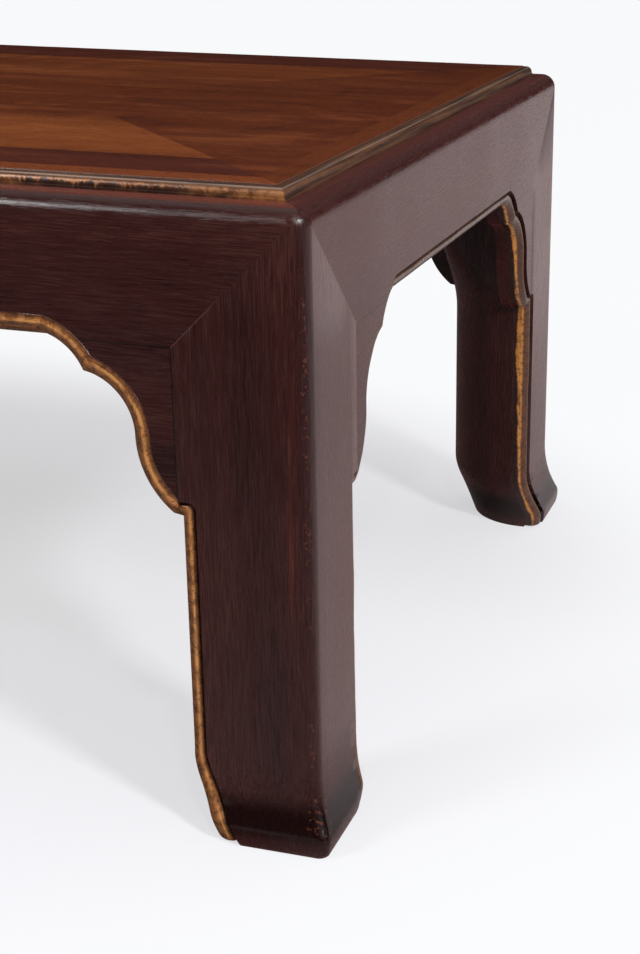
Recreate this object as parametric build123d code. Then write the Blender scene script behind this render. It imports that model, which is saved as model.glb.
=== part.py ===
"""Low hardwood kang table with a veneered top, scalloped spandrels and hoof feet.

Millimetres, +Z up. The origin is on the floor under the middle of the table,
X runs along the long side and Y from the front to the back.

Most pieces are drawn once for a side of a given span. In side coordinates s runs
along the side from its middle, t inwards from the outer face and z up. A corner is
drawn in corner coordinates: u inwards from one outer face, v inwards from the other.
"""
import os
from math import atan2, cos, hypot, pi, sin, sqrt

from build123d import *

# overall
table_length = 1372.0
table_depth = 660.0
frame_height = 423.3          # floor to the ledge round the top
panel_raise = 8.7             # veneered panel above the ledge
edge_radius = 12.0            # rounded corners and top edge of the frame

# legs, aprons and spandrels
leg_width = 88.0              # face of a leg above its foot
apron_height = 89.2           # depth of an apron board, outside its scallops
board_thickness = 25.0        # aprons and spandrels
inner_round = 77.0            # hollow-side rounding of a leg
inner_corner = 3.0            # the same corner where the leg is left square
round_start = 204.0           # height where that rounding begins to run out
round_end = 304.0             # height where the leg is square again
run_out_steps = 4             # sections that draw the run-out

# hoof feet
flare = 10.8                  # how far the outer faces sweep out
flare_start = 65.0            # height where the sweep begins
lip_height = 15.0             # height of the widest point
lip_corner_radius = 6.0       # rounding of the outer corner from there down
sole_inset = 2.8              # how far the lip tucks back under, down to the sole
foot_taper = 20.0             # how far the inner edges draw in at the sole
foot_taper_start = 46.0
arris_taper = 25.0            # the same for the inner arris of the leg's face
arris_taper_start = 53.0
taper_power = 0.85            # under 1 the taper turns in at once, then runs straighter
lip_steps = 4                 # sections that draw the lip
sweep_steps = 7               # sections that draw the sweep above it

# gilt bead round every opening
bead_width = 12.0
bead_depth = 14.0
bead_setback = 1.5            # its front behind the face of the frame

# scalloped outline of an opening, measured from the leg and from the apron's underside
shoulder_radius = 38.4
shoulder_reach = 98.5
shoulder_drop = 36.5
cove_radius = 38.8
cove_reach = 69.2
cove_drop = 60.2
bulge_reach = 32.9
bulge_drop = 60.1
nose_length = 5.8
nose_drop = 111.2
nose_radius = 6.0

# veneered top
ledge_width = 19.0
moulding_width = 8.5
moulding_lip = 2.5            # upright edge under the moulding's round
core_thickness = 18.0
core_clearance = 0.3
veneer_thickness = 0.9
lipping_width = 17.0
crossband_width = 51.0

# bearers under the top and their screws
cleat_width = 20.0
cleat_height = 20.0
batten_width = 45.0
batten_height = 20.0
batten_spacing = 440.0
screw_radius = 2.0
screw_clearance = 0.05
screw_bite = 12.0             # length of thread in the core
screw_head_radius = 4.0
screw_head_height = 2.5
screw_spacing = 300.0
short_screw_spacing = 240.0

# levels that follow from the sizes above
apron_bottom = frame_height - apron_height
top_height = frame_height + panel_raise
core_top = top_height - veneer_thickness
core_bottom = core_top - core_thickness
mitre_slope = apron_height / leg_width
panel_inset = ledge_width + moulding_width
far = table_length + table_depth      # longer than anything, for cutting tools

spans = {"front": table_length, "right": table_depth, "back": table_length, "left": table_depth}
turns = {"front": 0, "right": 90, "back": 180, "left": 270}
# names of the corners at the two ends of each side, at -s and at +s
side_ends = {
    "front": ("left", "right"),
    "right": ("front", "back"),
    "back": ("right", "left"),
    "left": ("back", "front"),
}
corner_turns = {"front_left": 0, "front_right": 90, "back_right": 180, "back_left": 270}


def place_side(piece, side):
    """Move a piece from side coordinates to its side of the table."""
    reach = table_depth / 2 if side in ("front", "back") else table_length / 2
    return Rot(0, 0, turns[side]) * Pos(0, -reach, 0) * piece


def place_corner(piece, corner):
    """Move a piece from corner coordinates to a corner of the table."""
    x, y = {
        "front_left": (-table_length / 2, -table_depth / 2),
        "front_right": (table_length / 2, -table_depth / 2),
        "back_right": (table_length / 2, table_depth / 2),
        "back_left": (-table_length / 2, table_depth / 2),
    }[corner]
    return Pos(x, y, 0) * Rot(0, 0, corner_turns[corner]) * piece


def span_box(s0, s1, t0, t1, z0, z1):
    """A box given by its limits."""
    return Pos((s0 + s1) / 2, (t0 + t1) / 2, (z0 + z1) / 2) * Box(s1 - s0, t1 - t0, z1 - z0)


def prism(points, height, bottom=0.0):
    """A flat outline in plan, drawn up from the height bottom."""
    face = make_face(Polyline(*points, close=True))
    return Pos(0, 0, bottom) * extrude(face, height)


def side_prism(face, t0, t1):
    """A face drawn in (s, z) made a solid from t0 to t1."""
    standing = Plane.XZ * face
    return extrude(Pos(0, t1, 0) * standing, t1 - t0)


def rounded_block(span, across):
    """The outside of the frame as one block, its corners and top edge rounded."""
    block = span_box(-span / 2, span / 2, 0, across, 0, frame_height)
    upright = block.edges().filter_by(Axis.Z)
    block = fillet(upright, edge_radius)
    return fillet(block.faces().sort_by(Axis.Z)[-1].edges(), edge_radius)


def circle_crossing(centre_a, radius_a, centre_b, radius_b):
    """The crossing of two circles that lies to the right, going from a to b."""
    dx = centre_b[0] - centre_a[0]
    dz = centre_b[1] - centre_a[1]
    gap = hypot(dx, dz)
    along = (gap**2 + radius_a**2 - radius_b**2) / (2 * gap)
    aside = sqrt(radius_a**2 - along**2)
    return (
        centre_a[0] + (along * dx + aside * dz) / gap,
        centre_a[1] + (along * dz - aside * dx) / gap,
    )


def arc_between(centre, radius, start, end):
    """The shorter arc of a circle from start to end."""
    first = atan2(start[1] - centre[1], start[0] - centre[0])
    last = atan2(end[1] - centre[1], end[0] - centre[0])
    turn = (last - first + pi) % (2 * pi) - pi
    middle = first + turn / 2
    through = (centre[0] + radius * cos(middle), centre[1] + radius * sin(middle))
    return ThreePointArc(start, through, end)


def opening_edges(offset):
    """The scallop beside a leg, in distance from the corner and height.

    Offset 0 is the cut edge of the opening. A larger offset lies that much further
    into the wood, on circles round the same centres. Shoulder and cove meet in a cusp,
    and cove and bulge are tangent. The line ends on the leg's inner edge.
    """
    shoulder = (leg_width + shoulder_reach, apron_bottom - shoulder_drop)
    cove = (leg_width + cove_reach, apron_bottom - cove_drop)
    bulge = (leg_width - bulge_reach, apron_bottom - bulge_drop)
    between = hypot(cove[0] - bulge[0], cove[1] - bulge[1])
    bulge_radius = between - cove_radius - offset
    tip = sqrt((shoulder_radius + offset) ** 2 - (shoulder_drop + offset) ** 2)
    start = (shoulder[0] - tip, apron_bottom + offset)
    cusp = circle_crossing(shoulder, shoulder_radius + offset, cove, cove_radius + offset)
    share = (cove_radius + offset) / between
    turn_over = (cove[0] + (bulge[0] - cove[0]) * share, cove[1] + (bulge[1] - cove[1]) * share)
    nose_start = leg_width + nose_length
    nose_fall = sqrt(bulge_radius**2 - (nose_start - bulge[0]) ** 2)
    arc_end = (nose_start, bulge[1] - nose_fall)
    end = (leg_width, apron_bottom - nose_drop + offset)
    return [
        arc_between(shoulder, shoulder_radius + offset, start, cusp),
        arc_between(cove, cove_radius + offset, cusp, turn_over),
        arc_between(bulge, bulge_radius, turn_over, arc_end),
        Line(arc_end, end),
    ]


def bead_face(span):
    """The band between cut edge and arris over half an opening, as a face."""
    outer = opening_edges(0)
    inner = opening_edges(bead_width)
    middle = span / 2
    flat = apron_bottom + bead_width
    outline = outer + inner + [
        Line(outer[-1] @ 1, inner[-1] @ 1),
        Line(inner[0] @ 0, (middle, flat)),
        Line((middle, flat), (middle, apron_bottom)),
        Line((middle, apron_bottom), outer[0] @ 0),
    ]
    return make_face(outline)


def bead_zone(span, t0, t1):
    """The band that the bead of an opening fills along the apron and spandrels."""
    half = Pos(-span / 2, 0, 0) * side_prism(bead_face(span), t0, t1)
    return half + mirror(half, Plane.YZ)


def below(solid, level):
    """The part of a solid under a level."""
    return solid & span_box(-far, far, -far, far, -far, level)


def above(solid, level):
    """The part of a solid over a level."""
    return solid & span_box(-far, far, -far, far, level, far)


def mitred_end(span):
    """Everything between the mitre planes at both ends of a side."""
    half = span / 2
    corners = [(-half, frame_height), (0, frame_height - half * mitre_slope), (half, frame_height)]
    upright = make_face(Polyline(*corners, close=True))
    plan = prism([(-half, 0), (half, 0), (0, half)], far)
    return side_prism(upright, -far, far) & plan


def make_apron(span, across):
    """A board mitred to the legs below and to its neighbours above."""
    board = span_box(-span / 2, span / 2, 0, board_thickness, apron_bottom, frame_height)
    board = board & mitred_end(span) & rounded_block(span, across)
    return board - bead_zone(span, -edge_radius, bead_depth)


def make_apron_bead(span):
    """The straight run of bead with the upper part of both shoulders."""
    return above(bead_zone(span, bead_setback, bead_depth), apron_bottom)


def make_spandrel(span):
    """Bracket that fills the corner between a leg and an apron, at -s."""
    edges = opening_edges(0)
    inner_top = (leg_width, apron_bottom)
    outline = edges + [Line(edges[-1] @ 1, inner_top), Line(inner_top, edges[0] @ 0)]
    solid = Pos(-span / 2, 0, 0) * side_prism(make_face(outline), 0, board_thickness)
    return solid - bead_zone(span, -edge_radius, bead_depth)


def make_spandrel_bead(span):
    """The scalloped run of bead on the spandrel at -s."""
    run = below(bead_zone(span, bead_setback, bead_depth), apron_bottom)
    return run & span_box(-span / 2, 0, -far, far, 0, far)


def face_flare(z):
    """How far an outer face of a leg stands out at a height."""
    if z >= flare_start:
        return 0.0
    if z >= lip_height:
        run = flare_start - lip_height
        radius = (run**2 + flare**2) / (2 * flare)
        return radius - sqrt(radius**2 - (flare_start - z) ** 2)
    return flare - sole_inset * (1 - sqrt(1 - (1 - z / lip_height) ** 2))


def corner_round(z):
    """Radius of a leg's outer corner, which sharpens down the sweep of the foot."""
    share = min(1.0, max(0.0, (flare_start - z) / (flare_start - lip_height)))
    return edge_radius + (lip_corner_radius - edge_radius) * share


def tapered(size, taper, start, z):
    """A width that draws in below the height start, by taper at the floor."""
    return size - taper * max(0.0, 1 - z / start) ** taper_power


def leg_inner(z):
    """Distance of a leg's inner faces from its outer faces."""
    return tapered(leg_width, foot_taper, foot_taper_start, z)


def leg_arris(z):
    """Distance of the face's inner arris, where the bead begins."""
    return tapered(leg_width - bead_width, arris_taper, arris_taper_start, z)


def leg_round(z):
    """Radius of a leg's hollow-side corner at a height."""
    share = min(1.0, max(0.0, (z - round_start) / (round_end - round_start)))
    radius = inner_round + (inner_corner - inner_round) * share
    return min(radius, leg_inner(z) - (leg_width - inner_round))


def foot_levels():
    """Heights of the sections that describe a foot, close together at the lip."""
    lip = [lip_height * (1 - cos(pi / 2 * step / lip_steps)) for step in range(lip_steps + 1)]
    sweep = [
        lip_height + (flare_start - lip_height) * step / sweep_steps
        for step in range(1, sweep_steps + 1)
    ]
    return sorted(set(lip + sweep + [foot_taper_start, arris_taper_start]))


def leg_section(z, height):
    """Outline of a leg across the grain: two flat faces, a round and a hollow side."""
    out = -face_flare(z)
    width = leg_inner(z)
    inner = leg_round(z)
    corner = out + corner_round(z)
    diagonal = corner_round(z) * (1 - sqrt(0.5))
    hollow = inner * (1 - sqrt(0.5))
    lines = [
        Line((width, out), (corner, out)),
        ThreePointArc((corner, out), (out + diagonal, out + diagonal), (out, corner)),
        Line((out, corner), (out, width)),
        Line((out, width), (width - inner, width)),
        ThreePointArc(
            (width - inner, width), (width - hollow, width - hollow), (width, width - inner)
        ),
        Line((width, width - inner), (width, out)),
    ]
    return Pos(0, 0, height) * make_face(lines)


def stacked(section, levels):
    """Ruled solid through sections at the given heights."""
    return loft([section(z) for z in levels], ruled=True)


def leg_levels():
    """Heights of every section of a leg up to the underside of the top."""
    rise = round_end - round_start
    run_out = [round_start + rise * step / run_out_steps for step in range(run_out_steps + 1)]
    return foot_levels() + run_out + [core_bottom]


def bead_channel(z, setback, overrun):
    """Section of a leg's bead on the face v = 0, or of its seat with an overrun."""
    out = -face_flare(z)
    points = [
        (leg_arris(z), out + setback),
        (leg_inner(z) + overrun, out + setback),
        (leg_inner(z) + overrun, out + bead_depth),
        (leg_arris(z), out + bead_depth),
    ]
    return Pos(0, 0, z) * make_face(Polyline(*points, close=True))


def nose_cap(t0, t1, overrun):
    """Limit of a leg's bead at the top: a level nose with one rounded corner."""
    top = apron_bottom - nose_drop + bead_width
    inner = leg_width - bead_width
    edges = [
        Line((leg_width + overrun, -far), (leg_width + overrun, top)),
        Line((leg_width + overrun, top), (inner + nose_radius, top)),
        arc_between(
            (inner + nose_radius, top - nose_radius),
            nose_radius,
            (inner + nose_radius, top),
            (inner, top - nose_radius),
        ),
        Line((inner, top - nose_radius), (inner, top - nose_radius * 2)),
        Line((inner, top - nose_radius * 2), (-far, top - nose_radius * 2)),
        Line((-far, top - nose_radius * 2), (-far, -far)),
        Line((-far, -far), (leg_width + overrun, -far)),
    ]
    return side_prism(make_face(edges), t0, t1)


def bead_column(setback, overrun):
    """The bead on the face v = 0 of a leg, from its nose down to the sole."""
    top = apron_bottom - nose_drop + bead_width
    levels = foot_levels() + [top]
    column = stacked(lambda z: bead_channel(z, setback, overrun), levels)
    return column & nose_cap(-far, far, overrun)


def swap_faces(solid):
    """Turn a solid for the face v = 0 of a leg into the one for u = 0."""
    return mirror(solid, Plane(origin=(0, 0, 0), z_dir=(1, -1, 0)))


def apron_seat():
    """What an apron takes out of a leg on the face v = 0."""
    outline = make_face(
        Polyline(
            (0, frame_height),
            (leg_width, apron_bottom),
            (leg_width * 2, apron_bottom),
            (leg_width * 2, frame_height),
            close=True,
        )
    )
    return side_prism(outline, -edge_radius, board_thickness)


def make_leg():
    """Hoof-footed leg, mitred to two aprons, with a haunch under the top."""
    levels = leg_levels()
    post = stacked(lambda z: leg_section(z, z), levels)
    peak = extrude(leg_section(core_bottom, core_bottom), frame_height - core_bottom)
    block = rounded_block(far, far)
    block = Pos(far / 2, 0, 0) * block
    peak = (peak - span_box(board_thickness, far, board_thickness, far, 0, far)) & block
    leg = post + peak
    seat = apron_seat()
    leg = leg - seat - swap_faces(seat)
    channel = bead_column(-edge_radius, edge_radius)
    return leg - channel - swap_faces(channel)


def make_leg_bead():
    """Bead on the face v = 0 of a leg."""
    return bead_column(bead_setback, 0.0)


def ring_piece(span, outer, inner, z0, z1):
    """One side of a mitred flat ring, between two insets from the frame's outside."""
    half = span / 2
    points = [(-half + outer, outer), (half - outer, outer), (half - inner, inner), (-half + inner, inner)]
    return prism(points, z1 - z0, z0)


def make_moulding(span):
    """Gilt moulding that covers the joint of frame and panel, its outer edge rounded."""
    outer = ledge_width
    inner = panel_inset
    round_width = moulding_width / 2
    profile = make_face(
        [
            Line((outer, frame_height), (outer, frame_height + moulding_lip)),
            EllipticalCenterArc(
                (outer + round_width, frame_height + moulding_lip),
                round_width,
                panel_raise - moulding_lip,
                start_angle=90,
                arc_size=90,
            ),
            Line((outer + round_width, top_height), (inner, top_height)),
            Line((inner, top_height), (inner, frame_height)),
            Line((inner, frame_height), (outer, frame_height)),
        ]
    )
    bar = extrude(Pos(-span / 2, 0, 0) * (Plane.YZ * profile), span)
    half = span / 2
    plan = [(-half, 0), (half, 0), (half - inner * 2, inner * 2), (-half + inner * 2, inner * 2)]
    return bar & prism(plan, far, 0)


def screw_places():
    """Screw centres under the top, on the cleats and battens."""
    side = table_depth / 2 - board_thickness - cleat_width / 2
    end = table_length / 2 - board_thickness - cleat_width / 2
    places = []
    for y in (-side, side):
        for step in (-1.5, -0.5, 0.5, 1.5):
            places.append((step * screw_spacing, y))
    for x in (-end, end):
        for step in (-0.5, 0.5):
            places.append((x, step * short_screw_spacing))
    for x in (-batten_spacing / 2, batten_spacing / 2):
        for step in (-0.5, 0.5):
            places.append((x, step * short_screw_spacing))
    return places


def drilled(solid):
    """Bore the screw holes that pass through a solid."""
    deep = core_bottom - cleat_height * 2
    for x, y in screw_places():
        hole = Cylinder(
            screw_radius + screw_clearance,
            core_bottom + screw_bite - deep,
            align=(Align.CENTER, Align.CENTER, Align.MIN),
        )
        solid = solid - Pos(x, y, deep) * hole
    return solid


def make_core():
    """Panel core between the aprons, stepped at its edge for the moulding."""
    gap = board_thickness + core_clearance
    half_x = table_length / 2
    half_y = table_depth / 2
    low = span_box(-half_x + gap, half_x - gap, -half_y + gap, half_y - gap, core_bottom, frame_height)
    edge = panel_inset
    high = span_box(-half_x + edge, half_x - edge, -half_y + edge, half_y - edge, core_bottom, core_top)
    return drilled(low + high)


def make_cleat(span):
    """Bearer along an apron, between two legs."""
    half = span / 2 - leg_width
    bar = span_box(
        -half, half, board_thickness, board_thickness + cleat_width, core_bottom - cleat_height, core_bottom
    )
    return bar


def make_batten(x):
    """Cross bearer from the front cleat to the back cleat."""
    half = table_depth / 2 - board_thickness - cleat_width
    bar = span_box(
        x - batten_width / 2, x + batten_width / 2, -half, half, core_bottom - batten_height, core_bottom
    )
    return drilled(bar)


def make_screws():
    """All the screws that hold the top down, as one group."""
    shank_length = cleat_height + screw_bite
    low = (Align.CENTER, Align.CENTER, Align.MAX)
    shank = Pos(0, 0, shank_length) * Cylinder(screw_radius, shank_length, align=low)
    head = Cylinder(screw_head_radius, screw_head_height, align=low)
    screw = Pos(0, 0, core_bottom - cleat_height) * (shank + head)
    return Compound([Pos(x, y, 0) * screw for x, y in screw_places()])


def field_veneers():
    """Four matched leaves whose joints run in at 45 degrees from the corners."""
    inset = panel_inset + lipping_width + crossband_width
    x = table_length / 2 - inset
    y = table_depth / 2 - inset
    meet = x - y
    outlines = {
        "field_veneer_front": [(-x, -y), (x, -y), (meet, 0), (-meet, 0)],
        "field_veneer_back": [(x, y), (-x, y), (-meet, 0), (meet, 0)],
        "field_veneer_right": [(x, -y), (x, y), (meet, 0)],
        "field_veneer_left": [(-x, y), (-x, -y), (-meet, 0)],
    }
    return {name: prism(points, veneer_thickness, core_top) for name, points in outlines.items()}


def build():
    """Every piece of the table by name."""
    pieces = {"top_core": make_core(), "top_screws": make_screws()}
    pieces.update(field_veneers())
    pieces["batten_left"] = make_batten(-batten_spacing / 2)
    pieces["batten_right"] = make_batten(batten_spacing / 2)
    band_inset = panel_inset + lipping_width
    leg_bead = make_leg_bead()
    for side, span in spans.items():
        across = table_depth if span == table_length else table_length
        pieces[f"apron_{side}"] = place_side(make_apron(span, across), side)
        pieces[f"apron_bead_{side}"] = place_side(make_apron_bead(span), side)
        spandrel = make_spandrel(span)
        bead = make_spandrel_bead(span)
        near, away = side_ends[side]
        pieces[f"spandrel_{side}_{near}"] = place_side(spandrel, side)
        pieces[f"spandrel_{side}_{away}"] = place_side(mirror(spandrel, Plane.YZ), side)
        pieces[f"spandrel_bead_{side}_{near}"] = place_side(bead, side)
        pieces[f"spandrel_bead_{side}_{away}"] = place_side(mirror(bead, Plane.YZ), side)
        column = Pos(-span / 2, 0, 0) * leg_bead
        pieces[f"leg_bead_{side}_{near}"] = place_side(column, side)
        pieces[f"leg_bead_{side}_{away}"] = place_side(mirror(column, Plane.YZ), side)
        pieces[f"top_moulding_{side}"] = place_side(make_moulding(span), side)
        lipping = ring_piece(span, panel_inset, band_inset, core_top, top_height)
        pieces[f"lipping_veneer_{side}"] = place_side(lipping, side)
        band = ring_piece(span, band_inset, band_inset + crossband_width, core_top, top_height)
        pieces[f"crossband_veneer_{side}"] = place_side(band, side)
        pieces[f"cleat_{side}"] = drilled(place_side(make_cleat(span), side))
    leg = make_leg()
    for corner in corner_turns:
        pieces[f"leg_{corner}"] = place_corner(leg, corner)
    return pieces


os.makedirs("parts", exist_ok=True)
for name, piece in build().items():
    export_step(piece, f"parts/{name}.step")
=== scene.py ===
import math
import bmesh
import bpy
import numpy as np
from mathutils import Matrix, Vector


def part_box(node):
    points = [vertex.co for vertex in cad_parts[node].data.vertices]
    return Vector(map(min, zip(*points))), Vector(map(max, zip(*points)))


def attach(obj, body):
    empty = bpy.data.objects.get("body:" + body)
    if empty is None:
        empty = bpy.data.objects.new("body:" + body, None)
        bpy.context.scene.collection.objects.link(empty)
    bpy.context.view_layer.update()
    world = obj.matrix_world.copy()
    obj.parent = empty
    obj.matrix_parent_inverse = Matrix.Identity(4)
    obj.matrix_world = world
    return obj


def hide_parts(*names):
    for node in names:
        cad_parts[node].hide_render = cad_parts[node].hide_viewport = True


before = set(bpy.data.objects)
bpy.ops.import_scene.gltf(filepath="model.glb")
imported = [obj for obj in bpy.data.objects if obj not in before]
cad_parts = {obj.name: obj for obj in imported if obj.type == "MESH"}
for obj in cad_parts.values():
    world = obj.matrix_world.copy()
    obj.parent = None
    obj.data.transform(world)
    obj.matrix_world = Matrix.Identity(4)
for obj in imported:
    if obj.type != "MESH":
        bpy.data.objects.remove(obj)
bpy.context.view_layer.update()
mm = 0.001

legWidth = 88 * mm
ledgeWidth = 19 * mm
mouldingLow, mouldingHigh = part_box("top_moulding_front")
halfLength = mouldingHigh.x + ledgeWidth      # middle of the table to its end face
halfDepth = -mouldingLow.y + ledgeWidth       # middle of the table to its front face
frameHeight = mouldingLow.z                   # floor to the ledge
topHeight = mouldingHigh.z                    # floor to the veneer
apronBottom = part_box("apron_front")[0].z
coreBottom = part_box("top_core")[0].z

sideNames = ["front", "right", "back", "left"]
sideReach = [halfDepth, halfLength] * 2
sideHalf = [halfLength, halfDepth] * 2
sideEnds = [("left", "right"), ("front", "back"), ("right", "left"), ("back", "front")]
cornerNames = ["front_left", "front_right", "back_right", "back_left"]


def quarterTurn(count):
    return np.linspace(0, math.pi / 2, count)


def turned(points, quarters):
    # turn (x, y, z) points by quarter turns about Z
    c, s = [(1, 0), (0, 1), (-1, 0), (0, -1)][quarters]
    x, y, z = points[..., 0], points[..., 1], points[..., 2]
    return np.stack([c * x - s * y, s * x + c * y, z], axis=-1)


def onSide(points, side):
    # side coordinates: s along the side, t inwards from its face, z up
    return turned(points - np.array([0, sideReach[side], 0]), side)


def onCorner(points, corner):
    # corner coordinates: u and v inwards from the two faces of a leg
    x = [-halfLength, halfLength, halfLength, -halfLength][corner]
    y = [-halfDepth, -halfDepth, halfDepth, halfDepth][corner]
    return turned(points, corner) + np.array([x, y, 0])


def smoothWave(along, seed, longest, octaves=4):
    # sum of sines, each octave half as long and half as high, with phases from the seed
    rng = np.random.default_rng(seed)
    total = np.zeros_like(along)
    for octave in range(octaves):
        phase = rng.uniform(0, 2 * math.pi)
        stretch = rng.uniform(0.85, 1.15)
        total = total + np.sin(along * 2 * math.pi * 2**octave * stretch / longest + phase) / 2**octave
    return total / 2


def makeObject(name, points, faces, uvs=None, material=None):
    mesh = bpy.data.meshes.new(name)
    mesh.from_pydata(points.reshape(-1, 3).tolist(), [], faces)
    if uvs is not None:
        layer = mesh.uv_layers.new(name="UVMap")
        corner = np.empty(len(mesh.loops), dtype=np.int32)
        mesh.loops.foreach_get("vertex_index", corner)
        layer.data.foreach_set("uv", uvs.reshape(-1, 2)[corner].astype(np.float32).ravel())
    mesh.validate()
    obj = bpy.data.objects.new(name, mesh)
    bpy.context.scene.collection.objects.link(obj)
    if material is not None:
        mesh.materials.append(material)
    return obj


def gridFaces(rows, columns):
    # quads of a grid whose columns close on themselves, with a face at each end row
    r, c = np.meshgrid(np.arange(rows - 1), np.arange(columns), indexing="ij")
    n = (c + 1) % columns
    here, above = r * columns, (r + 1) * columns
    quads = np.stack([here + c, here + n, above + n, above + c], axis=-1)
    faces = quads.reshape(-1, 4).tolist()
    faces.append(list(range(columns))[::-1])
    faces.append([(rows - 1) * columns + k for k in range(columns)])
    return faces


def tidyMesh(obj, angle=32):
    # merge doubles, point every face outwards, smooth all but the crisp edges
    bm = bmesh.new()
    bm.from_mesh(obj.data)
    bmesh.ops.remove_doubles(bm, verts=bm.verts, dist=1e-6)
    bmesh.ops.dissolve_degenerate(bm, edges=bm.edges, dist=1e-6)
    bmesh.ops.recalc_face_normals(bm, faces=bm.faces)
    bm.to_mesh(obj.data)
    bm.free()
    obj.data.shade_smooth()
    obj.data.set_sharp_from_angle(angle=math.radians(angle))
    return obj


def applied(obj):
    # the object with its modifiers worked into its mesh
    bpy.context.view_layer.update()
    evaluated = obj.evaluated_get(bpy.context.evaluated_depsgraph_get())
    mesh = bpy.data.meshes.new_from_object(evaluated)
    obj.modifiers.clear()
    obj.data = mesh
    return obj


def cutBy(obj, cutters):
    for other in cutters:
        step = obj.modifiers.new("cut", "BOOLEAN")
        step.operation = "DIFFERENCE"
        step.solver = "EXACT"
        step.object = other
    applied(obj)
    for other in cutters:
        bpy.data.objects.remove(other)


def easeEdges(obj, width, angle=40, segments=2):
    step = obj.modifiers.new("ease", "BEVEL")
    step.width = width
    step.segments = segments
    step.limit_method = "ANGLE"
    step.angle_limit = math.radians(angle)
    return applied(obj)


def place(obj, slotName, *nodes):
    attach(obj, "root")
    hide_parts(*nodes)


def plug(tree, socket, value):
    # a link from another node, a colour or a number
    if hasattr(value, "is_output"):
        tree.links.new(value, socket)
    elif isinstance(value, tuple):
        socket.default_value = (*value, 1)
    else:
        socket.default_value = value


def calc(tree, operation, a, b=0.0):
    node = tree.nodes.new("ShaderNodeMath")
    node.operation = operation
    plug(tree, node.inputs[0], a)
    plug(tree, node.inputs[1], b)
    return node.outputs[0]


def plus(tree, a, b):
    return calc(tree, "ADD", a, b)


def minus(tree, a, b):
    return calc(tree, "SUBTRACT", a, b)


def times(tree, a, b):
    return calc(tree, "MULTIPLY", a, b)


def larger(tree, a, b):
    return calc(tree, "MAXIMUM", a, b)


def unsigned(tree, a):
    return calc(tree, "ABSOLUTE", a)


def mapRange(tree, value, low, high, toLow=0.0, toHigh=1.0):
    node = tree.nodes.new("ShaderNodeMapRange")
    node.interpolation_type = "SMOOTHSTEP"
    for socket, given in zip(node.inputs, (value, low, high, toLow, toHigh)):
        plug(tree, socket, given)
    return node.outputs[0]


def falling(tree, value, low, high):
    return mapRange(tree, value, low, high, 1.0, 0.0)


def between(tree, value, low, high, soft):
    # 1 inside a range, fading out over a soft margin at both ends
    up = mapRange(tree, value, low - soft, low + soft)
    return times(tree, up, falling(tree, value, high - soft, high + soft))


def mixColours(tree, factor, a, b):
    node = tree.nodes.new("ShaderNodeMix")
    node.data_type = "RGBA"
    for index, value in ((0, factor), (6, a), (7, b)):
        plug(tree, node.inputs[index], value)
    return node.outputs[2]


def ramp(tree, value, stops):
    node = tree.nodes.new("ShaderNodeValToRGB")
    node.color_ramp.interpolation = "EASE"
    elements = node.color_ramp.elements
    while len(elements) < len(stops):
        elements.new(0.5)
    for element, (position, colour) in zip(elements, stops):
        element.position = position
        element.color = (*colour, 1)
    tree.links.new(value, node.inputs[0])
    return node.outputs[0]


def noise(tree, vector, scale, detail=4.0, rough=0.55, distortion=0.0):
    node = tree.nodes.new("ShaderNodeTexNoise")
    node.inputs["Scale"].default_value = scale
    node.inputs["Detail"].default_value = detail
    node.inputs["Roughness"].default_value = rough
    node.inputs["Distortion"].default_value = distortion
    tree.links.new(vector, node.inputs["Vector"])
    return node.outputs[0]


def stretched(tree, vector, scale, location=(0, 0, 0)):
    node = tree.nodes.new("ShaderNodeMapping")
    node.inputs["Location"].default_value = location
    node.inputs["Scale"].default_value = scale
    tree.links.new(vector, node.inputs["Vector"])
    return node.outputs[0]


def partsOf(tree, vector):
    # the X, Y and Z of a vector
    node = tree.nodes.new("ShaderNodeSeparateXYZ")
    tree.links.new(vector, node.inputs[0])
    return node.outputs


def bump(tree, height, strength, distance, normal=None):
    node = tree.nodes.new("ShaderNodeBump")
    node.inputs["Strength"].default_value = strength
    node.inputs["Distance"].default_value = distance
    tree.links.new(height, node.inputs["Height"])
    if normal is not None:
        tree.links.new(normal, node.inputs["Normal"])
    return node.outputs[0]


def newMaterial(name):
    material = bpy.data.materials.new(name)
    material.use_nodes = True
    tree = material.node_tree
    coords = tree.nodes.new("ShaderNodeTexCoord")
    return material, tree, tree.nodes["Principled BSDF"].inputs, coords.outputs


# how much finer a pattern is across the grain than along it
grainScale = {"X": (1, 22, 22), "Y": (22, 1, 22), "Z": (22, 22, 1)}

frameWood = {
    "dark": (0.0115, 0.0034, 0.0032), "middle": (0.027, 0.0064, 0.0052), "red": (0.050, 0.0118, 0.0078),
    # the ledge colour is painted light for the ledge tops of the front and back aprons
    "pore": (0.0045, 0.0016, 0.0016), "ledge": (0.110, 0.026, 0.0125), "worn": (0.095, 0.026, 0.014),
    "rust": (0.105, 0.018, 0.010), "mitre": (0.085, 0.045, 0.040), "joint": (0.002, 0.001, 0.001),
    "roughness": 0.20, "ior": 1.45, "bloom": 0.16, "bloomTint": (1.0, 0.30, 0.26),
    "shine": {"X": 0.50, "Y": 0.34, "Z": 0.62},
    "jointLine": 0.5 * mm, "jointLength": 109 * mm, "mitreLine": 0.35 * mm, "mitreFade": (18 * mm, 42 * mm),
    "shadedToeBand": (10 * mm, 34 * mm, 9 * mm),
    "rustBand": (10 * mm, 14 * mm, 3 * mm), "rustHeight": (0.15, 0.30, 0.05),
}


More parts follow.
